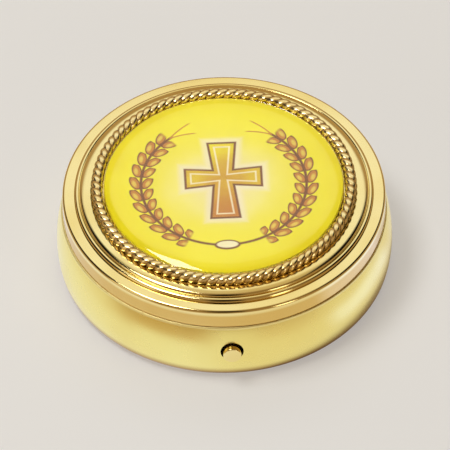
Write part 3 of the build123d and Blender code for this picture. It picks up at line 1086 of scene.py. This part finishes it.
def buildFloor():
    half = floorSheet["size"] / 2
    corners = [(-half, -half, 0), (half, -half, 0), (half, half, 0), (-half, half, 0)]
    floor = meshObject("floor", corners, [(0, 1, 2, 3)])
    material, sheet = newMaterial("paleFloor")
    place = sheet.make("ShaderNodeTexCoord", {}, {}, "Object")
    mottle = noise(sheet, place, floorSheet["mottleScale"], 3)
    ray = sheet.make("ShaderNodeLightPath", {}, {}, "Is Camera Ray")
    mirrored = ray.other("Is Glossy Ray").most(ray.other("Is Transmission Ray"))
    share = ray * floorSheet["seen"] + mirrored * floorSheet["mirrored"]
    unseen = 1 - ray
    axes = sheet.make("ShaderNodeSeparateXYZ", {}, {"Vector": place})
    x, y = axes / mm, axes.other("Y") / mm
    radius = length2(x, y)
    turn = sheet.maths("ARCTAN2", x, -y) * (180 / pi)
    shown = floorSheet["colour"]
    # Patches that only mirrored rays see, among them painted light
    for patch in floorPatches:
        shown = (patchMask(patch, turn, radius) * unseen).between(shown, patch["tone"])
    shadeX, shadeY = floorSheet["shadeMiddle"]
    shade = 1 - length2(x - shadeX, y - shadeY).step(*floorSheet["shadeSpan"])
    shown = (shade * floorSheet["shadeShare"] * unseen).between(shown, floorSheet["shade"])
    shown = (radius.step(*floorSheet["farSpan"]) * unseen).between(shown, floorSheet["far"])
    sockets = {
        "Base Color": share.between(floorSheet["colour"], black),
        "Roughness": floorSheet["roughness"] + mottle * floorSheet["mottle"],
        "Specular IOR Level": 0.2,
        "Emission Color": share.between(black, shown),
        "Emission Strength": 1,
    }
    finishMaterial(sheet, sheet.make("ShaderNodeBsdfPrincipled", {}, sockets))
    dress(floor, material)


def buildWorld():
    world = bpy.data.worlds.new("studio")
    bpy.context.scene.world = world
    world.use_nodes = True
    world.node_tree.nodes.clear()
    sheet = Wire(world.node_tree)
    direction = sheet.make("ShaderNodeTexCoord", {}, {}, "Generated")
    axes = sheet.make("ShaderNodeSeparateXYZ", {}, {"Vector": direction})
    rise = axes.other("Z")
    turn = radians(photoView["azimuth"])
    ahead = axes * sin(turn) - axes.other("Y") * cos(turn)
    aside = abs(axes * cos(turn) + axes.other("Y") * sin(turn))
    shown = rise.step(*sky["windowRise"]).between(sky["horizon"], sky["window"])
    shown = rise.step(*sky["zenithRise"]).between(shown, sky["zenith"])
    front = ahead.step(*sky["frontSpan"]) * rise.step(*sky["frontRise"])
    shown = front.between(shown, sky["front"])
    high = rise.step(*sky["darkRise"])
    sides = (aside + rise * sky["sideLean"]).step(*sky["sideSpan"])
    sides = sides * (1 - rise.step(*sky["sideTop"])) * (1 - ahead.step(*sky["sideFront"]))
    shown = (sides * high).between(shown, sky["dark"])
    strip = (ahead - aside * sky["stripTaper"]).step(*sky["stripSpan"])
    shown = (strip * high).between(shown, sky["dark"])
    seen = sheet.make("ShaderNodeLightPath", {}, {}, "Is Camera Ray")
    shown = seen.between(shown, sky["background"])
    light = sheet.make("ShaderNodeBackground", {}, {"Color": shown, "Strength": 1})
    sheet.make("ShaderNodeOutputWorld", {}, {"Surface": light})


def buildLamp(name, lamp):
    data = bpy.data.lights.new(name, "AREA")
    data.shape = "RECTANGLE"
    data.size = lamp["size"][0]
    data.size_y = lamp["size"][1]
    data.energy = lamp["radiance"] * pi * data.size * data.size_y
    towards = Vector(lamp["towards"]).normalized()
    lampObject = bpy.data.objects.new(name, data)
    lampObject.location = towards * lamp["distance"]
    lampObject.rotation_euler = towards.to_track_quat("Z", "Y").to_euler()
    bpy.context.collection.objects.link(lampObject)


def buildCamera():
    data = bpy.data.cameras.new("photoView")
    data.sensor_width = photoView["sensor"]
    imageSide = photoView["imageWidth"] / photoView["pixelsPerMm"] * mm
    data.lens = photoView["sensor"] * photoView["distance"] / imageSide
    camera = bpy.data.objects.new("photoView", data)
    turn = radians(photoView["azimuth"])
    lift = radians(photoView["elevation"])
    back = Vector((sin(turn) * cos(lift), -cos(turn) * cos(lift), sin(lift)))
    camera.location = Vector(photoView["aim"]) * mm + back * photoView["distance"]
    level = back.to_track_quat("Z", "Y").to_matrix()
    camera.rotation_euler = (level @ Matrix.Rotation(radians(photoView["roll"]), 3, "Z")).to_euler()
    bpy.context.collection.objects.link(camera)
    bpy.context.scene.camera = camera


buildFloor()
buildWorld()
for lampName, lamp in lamps.items():
    buildLamp(lampName, lamp)
buildCamera()
bpy.context.scene.view_settings.view_transform = "Standard"
print("studio lit")
